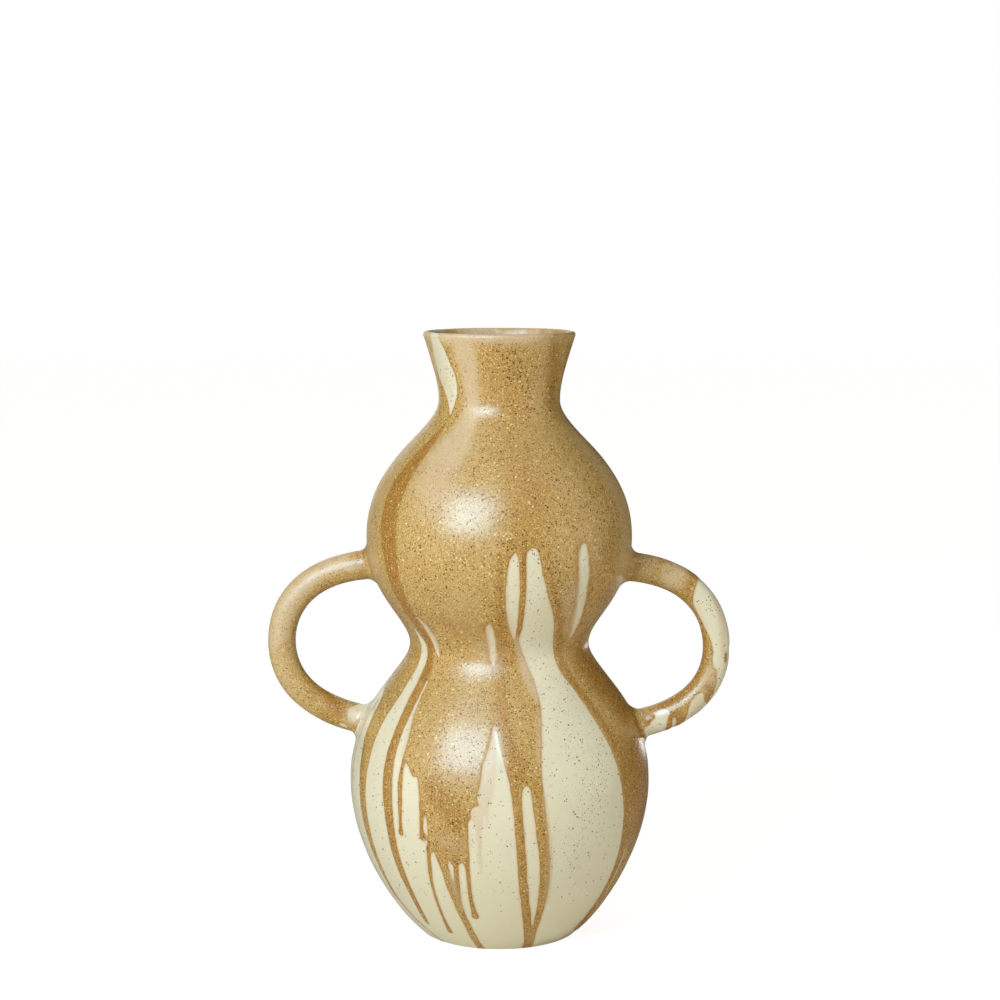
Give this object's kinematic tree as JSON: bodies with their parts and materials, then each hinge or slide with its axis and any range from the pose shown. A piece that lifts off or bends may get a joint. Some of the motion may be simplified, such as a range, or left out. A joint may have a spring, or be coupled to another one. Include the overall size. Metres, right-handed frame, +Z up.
{
  "type": "stoneware vase",
  "caption": "Double-gourd stoneware vase with a flared neck and loop handles at the waist, coated in pale glaze with speckled brown glaze poured over it in long runs.",
  "frame": {"origin": "middle of the circle on which the foot stands, on the surface that carries the vase", "axes": "+Z up along the axis of the body; both handles lie in the XZ plane, the left one towards -X; the front of the picture faces -Y"},
  "size_m": [0.2771, 0.18, 0.36],
  "materials": {
    "pale_glaze": "satin cream glaze, thin enough to show iron specks, with runs of brown glaze over it",
    "speckled_brown_glaze": "satin light brown glaze, densely speckled dark and cream, darker where it runs thick"
  },
  "bodies": {
    "root": {"lower_bulb": "pale_glaze", "upper_bulb": "speckled_brown_glaze", "neck": "speckled_brown_glaze", "left_handle": "speckled_brown_glaze", "right_handle": "speckled_brown_glaze"}
  },
  "joints": []
}
